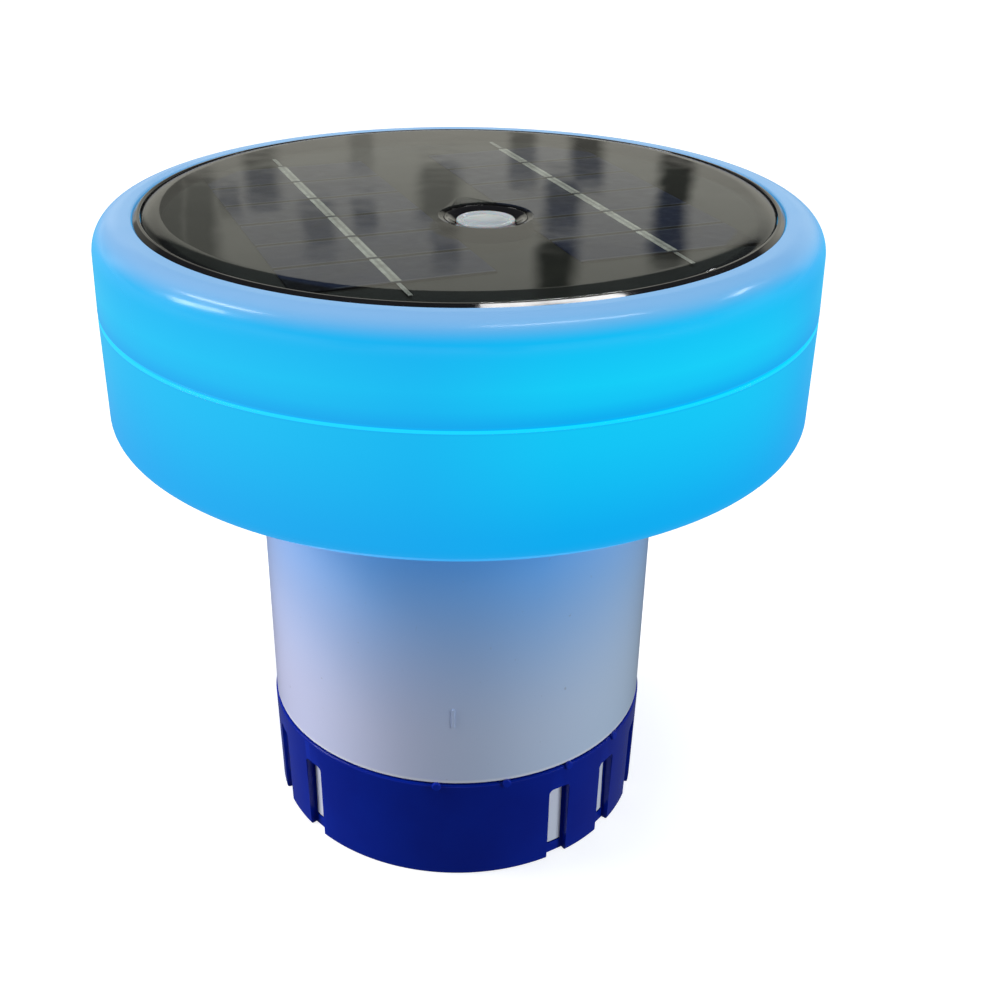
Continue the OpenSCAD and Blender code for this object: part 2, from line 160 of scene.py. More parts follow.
# ---------------------------------------------------------------- mesh tools
def rounded(corners):
    """Closed outline through corners (x, y) or (x, y, fillet radius), with each fillet drawn as an arc."""
    points = []
    for i, (x, y, *fillet) in enumerate(corners):
        here = Vector((x, y))
        if not fillet:
            points.append((x, y))
            continue
        radius = fillet[0]
        before = (Vector(corners[i - 1][:2]) - here).normalized()
        after = (Vector(corners[(i + 1) % len(corners)][:2]) - here).normalized()
        half = before.angle(after) / 2
        centre = here + (before + after).normalized() * radius / math.sin(half)
        start = here + before * radius / math.tan(half) - centre
        turn = math.pi - 2 * half
        if before.x * after.y - before.y * after.x > 0:
            turn = -turn
        steps = max(2, round(abs(math.degrees(turn)) / FILLET_STEP))
        for k in range(steps + 1):
            a = turn * k / steps
            spoke = Vector((start.x * math.cos(a) - start.y * math.sin(a),
                            start.x * math.sin(a) + start.y * math.cos(a)))
            points.append(tuple(centre + spoke))
    return points


def arc(cx, cy, rx, ry, a0, a1, steps):
    """Points on an elliptical arc, angles in degrees."""
    turns = [math.radians(a0 + (a1 - a0) * i / steps) for i in range(steps + 1)]
    return [(cx + rx * math.cos(a), cy + ry * math.sin(a)) for a in turns]


def put_in_scene(name, bm):
    """Object from a finished bmesh."""
    mesh = bpy.data.meshes.new(name)
    bm.to_mesh(mesh)
    bm.free()
    obj = bpy.data.objects.new(name, mesh)
    bpy.context.scene.collection.objects.link(obj)
    return obj


def add_object(name, bm):
    """Object from a bmesh in millimetres, with its faces pointing outwards."""
    bmesh.ops.recalc_face_normals(bm, faces=bm.faces)
    bmesh.ops.scale(bm, vec=(MM, MM, MM), verts=bm.verts)
    return put_in_scene(name, bm)


def revolve(name, corners, segments=SEGMENTS, centre=(0, 0)):
    """Solid of revolution about a vertical axis, from a closed outline of (radius, height[, fillet])."""
    bm = bmesh.new()
    turns = [2 * math.pi * i / segments for i in range(segments)]
    spokes = [(math.cos(a), math.sin(a)) for a in turns]
    rings = []
    for r, z in rounded(corners):
        if r < 1e-6:
            rings.append([bm.verts.new((*centre, z))] * segments)
        else:
            rings.append([bm.verts.new((centre[0] + r * c, centre[1] + r * s, z)) for c, s in spokes])
    for k, ring in enumerate(rings):
        following = rings[(k + 1) % len(rings)]
        for i in range(segments):
            j = (i + 1) % segments
            face = list(dict.fromkeys((ring[i], ring[j], following[j], following[i])))
            if len(face) > 2:
                bm.faces.new(face)
    return add_object(name, bm)


def loft(name, sections):
    """Closed solid through sections of equally many points (x, y, z)."""
    bm = bmesh.new()
    rings = [[bm.verts.new(p) for p in section] for section in sections]
    count = len(rings[0])
    for ring, following in zip(rings, rings[1:]):
        for i in range(count):
            j = (i + 1) % count
            bm.faces.new((ring[i], ring[j], following[j], following[i]))
    bm.faces.new(rings[0])
    bm.faces.new(rings[-1])
    return add_object(name, bm)


def on_wall(angle, radius, outline):
    """Points of an outline of (sideways, height) that stands across a spoke at a radius."""
    a = math.radians(angle)
    return [(radius * math.cos(a) - t * math.sin(a), radius * math.sin(a) + t * math.cos(a), z)
            for t, z in outline]


def join(objects, name):
    """One object from several meshes."""
    bm = bmesh.new()
    for obj in objects:
        bm.from_mesh(obj.data)
        bpy.data.objects.remove(obj)
    return put_in_scene(name, bm)


def applied(obj, modifier):
    """The same object, with its one modifier made part of the mesh."""
    evaluated = obj.evaluated_get(bpy.context.evaluated_depsgraph_get())
    mesh = bpy.data.meshes.new_from_object(evaluated)
    obj.modifiers.remove(modifier)
    obj.data = mesh
    return obj


def carve(obj, tools, operation="DIFFERENCE"):
    """Applies one exact boolean with all the tools, then removes them."""
    tool = join(tools, "tool")
    modifier = obj.modifiers.new("carve", "BOOLEAN")
    modifier.operation = operation
    modifier.solver = "EXACT"
    modifier.object = tool
    modifier.use_self = len(tools) > 1 and operation == "UNION"
    applied(obj, modifier)
    bpy.data.objects.remove(tool)


def smooth(obj, angle=32):
    """Smooth shading that keeps large faces flat, and edges sharper than the angle crisp."""
    for face in obj.data.polygons:
        face.use_smooth = True
    obj.data.set_sharp_from_angle(angle=math.radians(angle))
    modifier = obj.modifiers.new("even", "WEIGHTED_NORMAL")
    modifier.keep_sharp = True
    modifier.weight = 80
    return applied(obj, modifier)


def fit_out(obj, body, slot, node):
    """Gives a piece its body, its slot's look and the CAD node that it stands for."""
    obj.data.materials.clear()
    obj.data.materials.append(LOOKS[slot])
    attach(obj, body)
    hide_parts(node)


# ---------------------------------------------------------------- material tools
def add(tree, kind, inputs=None, **settings):
    """Adds a node; an input is linked if it is a socket and set if it is a value."""
    node = tree.nodes.new(kind)
    for key, value in settings.items():
        setattr(node, key, value)
    for key, value in (inputs or {}).items():
        if isinstance(value, bpy.types.NodeSocket):
            tree.links.new(value, node.inputs[key])
        else:
            node.inputs[key].default_value = value
    return node


def start(name, **sockets):
    """New material with one Principled shader; sockets are set straight on the shader."""
    look = bpy.data.materials.new(name)
    look.use_nodes = True
    shader = look.node_tree.nodes["Principled BSDF"]
    for key, value in sockets.items():
        shader.inputs[key.replace("_", " ")].default_value = value
    return look, look.node_tree, shader


def place(tree):
    """Place on the piece, in metres."""
    return add(tree, "ShaderNodeTexCoord").outputs["Object"]


def axes_of(tree):
    """The three coordinates of a place on the piece, in metres."""
    axes = add(tree, "ShaderNodeSeparateXYZ", {"Vector": place(tree)})
    return [axes.outputs[i] for i in range(3)]


def away_from(tree, x, y):
    """Distance in metres from an upright axis, whose place is given in millimetres."""
    off = add(tree, "ShaderNodeVectorMath", {0: place(tree), 1: (x * MM, y * MM, 0)}, operation="SUBTRACT")
    flat = add(tree, "ShaderNodeVectorMath", {0: off.outputs["Vector"], 1: (1, 1, 0)}, operation="MULTIPLY")
    away = add(tree, "ShaderNodeVectorMath", {0: flat.outputs["Vector"]}, operation="LENGTH")
    return away.outputs["Value"]


def grain(tree, size, detail, roughness=0.5, at=None):
    """Noise from 0 to 1 whose features are about size millimetres wide."""
    inputs = {"Vector": at or place(tree), "Scale": 1 / (size * MM), "Detail": detail,
              "Roughness": roughness}
    return add(tree, "ShaderNodeTexNoise", inputs).outputs["Fac"]


def spread(tree, value, low_in, high_in, low_out=0.0, high_out=1.0, shape="LINEAR"):
    """Maps a value from one range to another, and stops at the ends."""
    inputs = {"Value": value, "From Min": low_in, "From Max": high_in, "To Min": low_out,
              "To Max": high_out}
    return add(tree, "ShaderNodeMapRange", inputs, interpolation_type=shape).outputs["Result"]


def mix(tree, share, a, b, kind="MIX"):
    """Mixes two colours, each a socket or an (r, g, b) value."""
    colours = [value if isinstance(value, bpy.types.NodeSocket) else (*value, 1) for value in (a, b)]
    inputs = {0: share, 6: colours[0], 7: colours[1]}
    return add(tree, "ShaderNodeMix", inputs, data_type="RGBA", blend_type=kind).outputs[2]


def cloudy(tree, size, detail, a, b):
    """Colour that drifts between two colours in clouds about size millimetres wide."""
    return mix(tree, spread(tree, grain(tree, size, detail), 0.35, 0.65), a, b)


def math_node(tree, operation, *values, clamp=False):
    """One Math node on sockets or numbers."""
    node = add(tree, "ShaderNodeMath", dict(enumerate(values)), operation=operation, use_clamp=clamp)
    return node.outputs[0]


def bump(tree, shader, height, depth):
    """Surface relief from a 0 to 1 height, its depth in millimetres."""
    node = add(tree, "ShaderNodeBump", {"Height": height, "Distance": depth * MM, "Strength": 1.0})
    tree.links.new(node.outputs["Normal"], shader.inputs["Normal"])


def paint(tree, shader, colour, marks, smoothest, roughest, calm=0.3):
    """Links a colour, and a roughness that grows where the marks are stronger than calm."""
    tree.links.new(colour, shader.inputs["Base Color"])
    tree.links.new(spread(tree, marks, calm, 0.7, smoothest, roughest), shader.inputs["Roughness"])


def edges(tree):
    """0 to 1 mask of the convex edges of a piece."""
    pointiness = add(tree, "ShaderNodeNewGeometry").outputs["Pointiness"]
    return spread(tree, pointiness, 0.518, 0.56)


def plastic(name, base, shade, rough, speck, relief, worn=None, **sockets):
    """Moulded plastic: cloudy colour, fine surface texture, handling marks and paler edges."""
    look, tree, shader = start(name, **sockets)
    paler = worn or tuple(min(1, c * 1.5 + 0.02) for c in base)
    colour = mix(tree, edges(tree), cloudy(tree, 22, 3, base, shade), paler)
    paint(tree, shader, colour, grain(tree, 4, 5, 0.65), *rough, calm=0.35)
    bump(tree, shader, grain(tree, speck, 3), relief)
    return look


# ---------------------------------------------------------------- materials
def ramp_of(tree, value, stops):
    """Colour ramp through (position, level) or (position, (r, g, b)) stops."""
    node = add(tree, "ShaderNodeValToRGB", {"Fac": value})
    for i, (at, colour) in enumerate(stops):
        stop = node.color_ramp.elements[i] if i < 2 else node.color_ramp.elements.new(at)
        if isinstance(colour, (int, float)):
            colour = (colour,) * 3
        stop.position = at
        stop.color = (*colour, 1)
    return node.outputs["Color"]


def towards(tree, x, y, angle):
    """Cosine of the angle round the float between a place and a direction, which is 0 at the front."""
    a = math.radians(angle)
    sideways = math_node(tree, "MULTIPLY", x, math.sin(a) / (FLOAT_R * MM))
    forwards = math_node(tree, "MULTIPLY", y, -math.cos(a) / (FLOAT_R * MM))
    return math_node(tree, "ADD", sideways, forwards)


def well_shade(tree, x, y, z):
    """Mask of the screw wells in the underside, which the light inside doesn't reach."""
    seat = BOSS_PLACE * math.cos(math.radians(BOSS_ANGLES[0])) * MM
    off = [math_node(tree, "SUBTRACT", math_node(tree, "ABSOLUTE", axis), seat) for axis in (x, y)]
    squares = [math_node(tree, "MULTIPLY", axis, axis) for axis in off]
    away = math_node(tree, "SQRT", math_node(tree, "ADD", *squares))
    near = spread(tree, away, (WELL_MOUTH + 0.1) * MM, (WELL_MOUTH - 0.3) * MM, 0.0, 0.85)
    top = BASE_Z + WELL_DEEP
    below = spread(tree, z, (top + 0.8) * MM, (top - 0.2) * MM)
    return math_node(tree, "MULTIPLY", near, below)


# Bright patches on the float: angle from the front, cosine at the edge of the patch, strength
LOBES = ((29, 0.80, 0.60), (-42, 0.66, 0.22), (-88, 0.82, 0.2), (96, 0.80, 0.3), (152, 0.78, 0.5),
         (-142, 0.78, 0.45))

# Strength of the glow up the float, from its base (0) to its lip (1); it drops just over the seam
GLOW_LEVELS = ((0.0, 0.06), (0.20, 0.16), (0.36, 0.48), (0.52, 0.74), (0.60, 0.80), (0.615, 0.16),
               (0.64, 0.20), (0.69, 0.70), (0.76, 0.95), (0.88, 0.68), (0.96, 0.32), (1.0, 0.2))
GLOW_BLUE = (0.001, 0.355, 0.82)
GLOW_CYAN = (0.004, 0.60, 0.90)
GLOW_PALE = (0.30, 0.55, 0.95)
GLOW_RIM = (0.035, 0.20, 0.42)
GLOW_WELL = (0.0, 0.05, 0.16)


def float_look(name, bright=1.0, cyan=0.0):
    """Milky shell lit from inside: patches by the lamps, a darker band over the seam, a pale rim whose
    paler base colour is painted sheen of the room light on the top.
    """
    look, tree, shader = start(name, Coat_Weight=0.12, Coat_Roughness=0.06, IOR=1.33)
    x, y, z = axes_of(tree)
    patch = spread(tree, grain(tree, 70, 1), 0.3, 0.7, 0.34, 0.48)
    for angle, edge, strength in LOBES:
        lobe = spread(tree, towards(tree, x, y, angle), edge, 1.0, 0.0, strength, "SMOOTHSTEP")
        patch = math_node(tree, "ADD", patch, lobe)
    level = ramp_of(tree, spread(tree, z, BASE_Z * MM, LIP_Z * MM), GLOW_LEVELS)
    glow = math_node(tree, "ADD", math_node(tree, "MULTIPLY", level, patch), cyan, clamp=True)
    lit = mix(tree, glow, GLOW_BLUE, GLOW_CYAN)
    lit = mix(tree, spread(tree, x, 0.02, -0.07, 0.0, 0.07), lit, GLOW_PALE)
    rim = spread(tree, z, (LIP_Z - 4.0) * MM, LIP_Z * MM, 0.0, 1.0, "SMOOTHSTEP")
    lit = mix(tree, math_node(tree, "MULTIPLY", rim, 0.75), lit, GLOW_RIM)
    lit = mix(tree, well_shade(tree, x, y, z), lit, GLOW_WELL)
    tree.links.new(lit, shader.inputs["Emission Color"])
    shader.inputs["Emission Strength"].default_value = bright
    # Base colour paler towards the lip: painted sheen where the room light falls on the top of the float.
    body = mix(tree, rim, (0.002, 0.05, 0.08), (0.20, 0.23, 0.29))
    paint(tree, shader, body, grain(tree, 9, 5, 0.6), 0.14, 0.26, calm=0.35)
    bump(tree, shader, grain(tree, 6, 3), 0.02)
    return look


def canister_look():
    """Glossy white plastic with painted light: the float's blue light and shade near its top, lavender
    light on the left side, and a highlight on the lip over the cap.
    """
    look, tree, shader = start("canister_white", Coat_Weight=0.5, Coat_Roughness=0.08, IOR=1.5)
    x, _, z = axes_of(tree)
    cloud = spread(tree, grain(tree, 45, 1), 0.3, 0.7, -0.05, 0.05)
    # Colour drifts from lavender on the left to cyan on the right: painted light of the room falling from
    # the left.
    across = math_node(tree, "ADD", spread(tree, x, -0.045, 0.045), cloud)
    white = mix(tree, across, (0.68, 0.70, 0.94), (0.60, 0.73, 0.90))
    # Painted blue light and shade of the float, stronger towards the shoulder and weaker at the sides.
    tint = spread(tree, z, 0.036, SHOULDER_Z * MM, 0.0, 0.9, "SMOOTHSTEP")
    side = spread(tree, math_node(tree, "ABSOLUTE", x), 0.018, 0.045, 1.0, 0.62)
    colour = mix(tree, math_node(tree, "MULTIPLY", tint, side), white, (0.08, 0.46, 1.0))
    # Painted highlight: the lip just above the cap is painted near white.
    painted_lip_light = spread(tree, z, (STEP_Z + 1.1) * MM, (STEP_Z + 0.6) * MM)
    colour = mix(tree, painted_lip_light, colour, (0.86, 0.89, 1.0))
    fleck = spread(tree, grain(tree, 1.6, 2), 0.74, 0.80, 0.0, 0.35)
    colour = mix(tree, fleck, colour, (0.25, 0.26, 0.30))
    paint(tree, shader, colour, grain(tree, 9, 5, 0.6), 0.29, 0.35, calm=0.35)
    flow = add(tree, "ShaderNodeMapping", {"Vector": place(tree), "Scale": (1, 1, 0.1)}).outputs["Vector"]
    bump(tree, shader, grain(tree, 5, 2, at=flow), 0.012)
    return look


def resin_look():
    """Clear resin: mirrors by its angle and lets the rest of the light through."""
    look, tree, shader = start("clear_resin")
    tree.nodes.remove(shader)
    ripple = {"Height": grain(tree, 22, 2), "Distance": 0.13 * MM, "Strength": 0.6}
    ripple = add(tree, "ShaderNodeBump", ripple).outputs["Normal"]
    front = add(tree, "ShaderNodeNewGeometry").outputs["Backfacing"]
    front = math_node(tree, "SUBTRACT", 1.0, front)
    share = add(tree, "ShaderNodeFresnel", {"IOR": 1.5, "Normal": ripple}).outputs[0]
    share = math_node(tree, "MULTIPLY", share, front)
    tint = mix(tree, near_button(tree, 1.0), (0.78, 0.82, 0.86), (0.03, 0.03, 0.03))
    clear = add(tree, "ShaderNodeBsdfTransparent", {"Color": tint})
    dust = spread(tree, grain(tree, 7, 5, 0.65), 0.4, 0.75, 0.02, 0.07)
    mirror = {"Color": (1, 1, 1, 1), "Normal": ripple, "Roughness": dust}
    mirror = add(tree, "ShaderNodeBsdfGlossy", mirror)
    both = add(tree, "ShaderNodeMixShader", {0: share, 1: clear.outputs[0], 2: mirror.outputs[0]})
    tree.links.new(both.outputs[0], tree.nodes["Material Output"].inputs["Surface"])
    return look


def along_string(tree):
    """Place in the panel's own frame, its run along the strings, and its distance to a gap in cells."""
    turned = {"Vector": place(tree), "Rotation": (0, 0, -PANEL_TURN)}
    turned = add(tree, "ShaderNodeMapping", turned).outputs["Vector"]
    along = add(tree, "ShaderNodeSeparateXYZ", {"Vector": turned}).outputs[1]
    from_middle = math_node(tree, "SUBTRACT", along, STRING_MID * MM)
    cells = math_node(tree, "DIVIDE", from_middle, CELL_PITCH * MM)
    middle = math_node(tree, "SUBTRACT", math_node(tree, "FRACT", cells), 0.5)
    return turned, along, math_node(tree, "SUBTRACT", 0.5, math_node(tree, "ABSOLUTE", middle))


def near_button(tree, reach):
    """Mask of what lies within a distance in millimetres of the collar's edge, seen from above."""
    away = away_from(tree, BUTTON_AT.x, BUTTON_AT.y)
    return spread(tree, away, (COLLAR_R + reach + 0.5) * MM, (COLLAR_R + reach - 0.5) * MM)


def past_flat(tree, before):
    """Mask of the border under the dome's rounded edge, from a distance in millimetres before it."""
    flat_r = PANEL_R - DOME_W - before
    return spread(tree, away_from(tree, 0, 0), flat_r * MM, (flat_r + 1.0) * MM)


# The resin thins out over the collar, and this much of the base round it is black
COLLAR_SHADE = 2.9


def cell_look():
    """Dark silicon with fine grid lines across each string, a pale line and a dark gap at each end."""
    look, tree, shader = start("silicon", Specular_IOR_Level=0.1)
    turned, along, seam = along_string(tree)
    saw = math_node(tree, "FRACT", math_node(tree, "DIVIDE", along, 1.9 * MM))
    finger = spread(tree, math_node(tree, "ABSOLUTE", math_node(tree, "SUBTRACT", saw, 0.5)), 0.05, 0.02)
    crystal = add(tree, "ShaderNodeTexVoronoi", {"Vector": turned, "Scale": 260.0}).outputs["Color"]
    dark = mix(tree, 0.10, (0.006, 0.014, 0.044), crystal, "SOFT_LIGHT")
    colour = cloudy(tree, 30, 2, dark, (0.011, 0.021, 0.058))
    colour = mix(tree, math_node(tree, "MULTIPLY", finger, 0.06), colour, (0.22, 0.23, 0.24))
    pale = spread(tree, seam, 0.080, 0.068, 0.0, 0.45)
    colour = mix(tree, pale, colour, (0.20, 0.20, 0.19))
    gap = spread(tree, seam, 0.050, 0.040)
    for mask in (near_button(tree, COLLAR_SHADE), past_flat(tree, 4.0)):
        gap = math_node(tree, "MAXIMUM", gap, mask)
    colour = mix(tree, gap, colour, (0.002, 0.002, 0.003))
    paint(tree, shader, colour, grain(tree, 3, 4), 0.3, 0.5)
    bump(tree, shader, finger, 0.02)
    return look


def ribbon_look():
    """Tinned ribbon with a dull line down its middle, soldered cell by cell."""
    look, tree, shader = start("ribbon_tin", Metallic=0.1)
    turned, _, seam = along_string(tree)
    side = add(tree, "ShaderNodeSeparateXYZ", {"Vector": turned}).outputs[0]
    off = math_node(tree, "SUBTRACT", math_node(tree, "ABSOLUTE", side), STRING_X * MM)
    core = spread(tree, math_node(tree, "ABSOLUTE", off), 0.45 * MM, 0.25 * MM, 0.0, 0.55)
    patches = spread(tree, grain(tree, 2.2, 5, 0.7), 0.38, 0.62)
    tin = mix(tree, patches, (1.0, 0.92, 0.68), (0.62, 0.56, 0.40))
    tin = mix(tree, core, tin, (0.30, 0.27, 0.20))
    colour = mix(tree, spread(tree, seam, 0.045, 0.030), tin, (0.03, 0.03, 0.03))
    paint(tree, shader, colour, grain(tree, 1.2, 5, 0.7), 0.35, 0.55)
    bump(tree, shader, grain(tree, 0.8, 3), 0.02)
    return look


def panel_base_look():
    """Brownish base of the panel, black under the dome's edge and round the button."""
    look, tree, shader = start("panel_base", Coat_Weight=0.25, Coat_Roughness=0.05, Specular_IOR_Level=0.0)
    base = cloudy(tree, 18, 3, (0.040, 0.038, 0.026), (0.030, 0.029, 0.021))
    border = math_node(tree, "MAXIMUM", past_flat(tree, 0.0), near_button(tree, COLLAR_SHADE))
    colour = mix(tree, border, base, (0.003, 0.003, 0.003))
    paint(tree, shader, colour, grain(tree, 2, 4), 0.25, 0.45)
    bump(tree, shader, grain(tree, 0.6, 3), 0.01)
    return look


def metal(name, base, shade):
    """Bare metal with fine scratches and dull patches."""
    look, tree, shader = start(name, Metallic=1.0)
    drawn = add(tree, "ShaderNodeMapping", {"Vector": place(tree), "Scale": (1, 1, 0.15)}).outputs["Vector"]
    paint(tree, shader, cloudy(tree, 5, 5, base, shade), grain(tree, 1.2, 5, 0.7), 0.22, 0.42)
    bump(tree, shader, grain(tree, 0.6, 3, at=drawn), 0.01)
    return look


def board_look(name, base, trace):
    """Circuit board: solder mask with raised copper traces under it."""
    look, tree, shader = start(name, Coat_Weight=0.5, Coat_Roughness=0.15)
    pattern = {"Vector": place(tree), "Scale": 120.0, "Mortar Size": 0.06, "Color1": (0, 0, 0, 1),
               "Color2": (0.25, 0.25, 0.25, 1), "Mortar": (1, 1, 1, 1)}
    lines = add(tree, "ShaderNodeTexBrick", pattern).outputs["Color"]
    paint(tree, shader, mix(tree, lines, base, trace), grain(tree, 2, 4), 0.25, 0.45)
    bump(tree, shader, lines, 0.03)
    return look


def lamp_look():
    """Lit lamp bodies."""
    look, tree, shader = start("lamp", Emission_Strength=3.0)
    colour = mix(tree, grain(tree, 1.2, 2), (0.55, 0.95, 1.0), (0.20, 0.85, 1.0))
    tree.links.new(colour, shader.inputs["Emission Color"])
    paint(tree, shader, colour, grain(tree, 0.8, 3), 0.2, 0.4)
    return look


SATIN = (0.4, 0.6)
SLEEVE = (0.35, 0.5)
LOOKS = {
    "canister_plastic": canister_look(),
    "cap_plastic": plastic("cap_navy", (0.001, 0.018, 0.33), (0.001, 0.014, 0.28), (0.18, 0.26), 5.0, 0.012,
                           (0.002, 0.022, 0.38), Coat_Weight=0.08, Coat_Roughness=0.1, IOR=1.28),
    "float_plastic": float_look("float_glow"),
    "seal_rubber": float_look("seam_light", 1.14, 0.8),
    "black_rubber": plastic("gasket_rubber", (0.018, 0.018, 0.02), (0.03, 0.03, 0.033), (0.55, 0.75),
                            0.4, 0.03),
    "chassis_plastic": plastic("chassis_white", (0.72, 0.74, 0.75), (0.64, 0.67, 0.69), SATIN, 0.5, 0.02),
    "steel_screw": metal("screw_steel", (0.62, 0.61, 0.58), (0.42, 0.42, 0.41)),
    "circuit_green": board_look("board_green", (0.01, 0.10, 0.04), (0.03, 0.19, 0.07)),
    "circuit_black": panel_base_look(),
    "led_body": lamp_look(),
    "component_black": plastic("package_black", (0.02, 0.02, 0.022), (0.035, 0.035, 0.037), SATIN,
                               0.3, 0.02),
    "switch_black": plastic("switch_nylon", (0.015, 0.015, 0.016), (0.03, 0.03, 0.03), SATIN, 0.3, 0.02),
    "battery_wrap": plastic("battery_sleeve", (0.02, 0.12, 0.40), (0.015, 0.09, 0.33), (0.2, 0.35),
                            0.8, 0.01),
    "holder_black": plastic("holder_plastic", (0.02, 0.02, 0.02), (0.035, 0.035, 0.035), SATIN, 0.5, 0.02),
    "contact_metal": metal("contact_nickel", (0.60, 0.58, 0.53), (0.48, 0.46, 0.42)),
    "lead_red": plastic("lead_red", (0.42, 0.015, 0.01), (0.33, 0.01, 0.01), SLEEVE, 0.3, 0.01),
    "lead_black": plastic("lead_black", (0.015, 0.015, 0.015), (0.03, 0.03, 0.03), SLEEVE, 0.3, 0.01),
    "cell_silicon": cell_look(),
    "ribbon_tin": ribbon_look(),
    "panel_resin": resin_look(),
    "bezel_black": plastic("bezel_gloss", (0.005, 0.005, 0.006), (0.009, 0.009, 0.010), (0.05, 0.12), 4.0,
                           0.006, (0.010, 0.010, 0.012), Coat_Weight=0.5, Coat_Roughness=0.03, IOR=1.5),
    "button_milky": plastic("button_milk", (0.50, 0.54, 0.56), (0.40, 0.45, 0.49), (0.15, 0.26), 2.5, 0.01,
                            Coat_Weight=0.5, Coat_Roughness=0.05, Subsurface_Weight=0.3,
                            Subsurface_Scale=0.003),
}


# ---------------------------------------------------------------- pieces
def boss_tools(outline, name):
    """One revolved tool of an outline at every screw boss."""
    turns = [math.radians(angle) for angle in BOSS_ANGLES]
    places = [(BOSS_PLACE * math.cos(a), BOSS_PLACE * math.sin(a)) for a in turns]
    return [revolve(name, outline, 48, at) for at in places]


def upright(radius, z0, z1):
    """Outline of a plain upright cylinder."""
    return [(0, z0), (radius, z0), (radius, z1), (0, z1)]


def make_upper_shell():
    """Upper half of the float: side, rounded shoulder, recess and ledge for the panel, screw bosses."""
    inner = FLOAT_R - SHELL_WALL
    seam = SEAM_Z + SEAM_HALF
    shoulder = 6.5
    shoulder_r = FLOAT_R - 0.3 - shoulder
    opening_r = 50
    deck = LEDGE_Z - 2.4
    bend = 4
    outline = [(inner, seam, 0.2), (FLOAT_R - 0.45, seam, 0.15), (FLOAT_R, seam + 0.9, 0.8)]
    outline += arc(shoulder_r, LIP_Z - shoulder, shoulder, shoulder, 0, 90, 20)
    outline += [(RECESS_R, LIP_Z, 0.45), (RECESS_R, LEDGE_Z, 0.2), (opening_r, LEDGE_Z, 0.4),
                (opening_r, deck, 0.4)]
    outline += arc(inner - bend, deck - bend, bend, bend, 90, 0, 10)
    shell = revolve("float_upper", outline)
    bottom = CHASSIS_Z + 2
    carve(shell, boss_tools(upright(3.6, bottom, deck + 0.6), "boss"), "UNION")
    carve(shell, boss_tools(upright(1.45, bottom - 1, bottom + 10), "pilot"))
    fit_out(smooth(shell), "head", "float_plastic", "upper_shell")


def make_lower_shell():
    """Lower half of the float: bowl, seam tongue, threaded socket for the canister, screw wells."""
    top = SEAM_Z - SEAM_HALF
    inner = FLOAT_R - SHELL_WALL
    bend_r = 60.4
    bend_z = BASE_Z + 8.2
    ceiling = SHOULDER_Z + 16.5
    socket_out = SOCKET_R + 2.4
    tongue_out = inner - 0.2
    tongue_in = inner - 1.4
    tongue_top = top + 3.4
    outline = [(0, ceiling), (SOCKET_R, ceiling, 1.0), (SOCKET_R, BASE_Z, 0.45), (socket_out + 2, BASE_Z)]
    outline += arc(bend_r, bend_z, FLOAT_R - bend_r, bend_z - BASE_Z - 0.4, -90, 0, 28)
    outline += [(FLOAT_R, top, 0.05), (tongue_out, top, 0.2), (tongue_out, tongue_top, 0.3),
                (tongue_in, tongue_top, 0.3), (tongue_in, top - 2.6, 0.5), (inner, top - 4.2, 0.5)]
    outline += arc(bend_r, bend_z, inner - bend_r, bend_z - BASE_Z - 2.8, 0, -90, 20)
    outline += [(socket_out, BASE_Z + 2.7, 0.8), (socket_out, ceiling + 2.4, 1.0), (0, ceiling + 2.4)]
    shell = revolve("float_lower", outline)
    carve(shell, boss_tools(upright(4.9, BASE_Z + 1, CHASSIS_Z), "boss"), "UNION")
    well_r = 3.5
    bore_r = 1.7
    seat = BASE_Z + WELL_DEEP
    well = [(0, BASE_Z - 2), (WELL_MOUTH, BASE_Z - 2), (WELL_MOUTH, BASE_Z + 0.3), (well_r, BASE_Z + 0.8),
            (well_r, seat), (bore_r, seat), (bore_r, CHASSIS_Z + 1), (0, CHASSIS_Z + 1)]
    carve(shell, boss_tools(well, "well"))
    lugs = thread_ribs("lug", SOCKET_R + 0.3, SOCKET_R - 1.4, SHOULDER_Z + 6.17, 20, 60, 1.5)
    carve(shell, lugs, "UNION")
    fit_out(smooth(shell), "head", "float_plastic", "lower_shell")


def thread_rib(name, root, crest, z0, a0, span, width):
    """Helical rib with rounded flanks and tapered ends."""
    steps = math.ceil(span / 4)
    sections = []
    for i in range(steps + 1):
        a = math.radians(a0 + span * i / steps)
        z = z0 + LEAD * span * i / steps / 360
        fade = min(1, 0.2 + min(i, steps - i) / 3)
        tip = root + (crest - root) * fade
        knee = root + (tip - root) * 0.75
        flank = [(root, -width / 2), (knee, -width * 0.36), (tip, -width * 0.2),
                 (tip, width * 0.2), (knee, width * 0.36), (root, width / 2)]
        sections.append([(r * math.cos(a), r * math.sin(a), z + h) for r, h in flank])
    return loft(name, sections)


def thread_ribs(name, root, crest, z0, a0, span, width):
    """The ribs of all the thread's starts."""
    apart = 360 / THREAD_STARTS
    return [thread_rib(name, root, crest, z0, apart * s + a0, span, width) for s in range(THREAD_STARTS)]


def slot_tool(angle, z0, z1, depths):
    """Cutter for one slot: an upright outline with round top corners, at several depths."""
    sections = []
    for r, grow in depths:
        half = SLOT_W / 2 + grow
        top = z1 + grow
        corner = 1.0 + grow
        outline = [(-half, z0 - grow), (half, z0 - grow)]
        outline += arc(half - corner, top - corner, corner, corner, 0, 90, 6)
        outline += arc(-half + corner, top - corner, corner, corner, 90, 180, 6)
        sections.append(on_wall(angle, r, outline))
    return loft("slot", sections)


def slot_tools(shift, z0, z1, depths):
    """Cutters for three groups of three slots."""
    angles = [SLOT_ANGLE + shift + group + k * SLOT_PITCH for group in GROUPS for k in (-1, 0, 1)]
    return [slot_tool(angle, z0, z1, depths) for angle in angles]


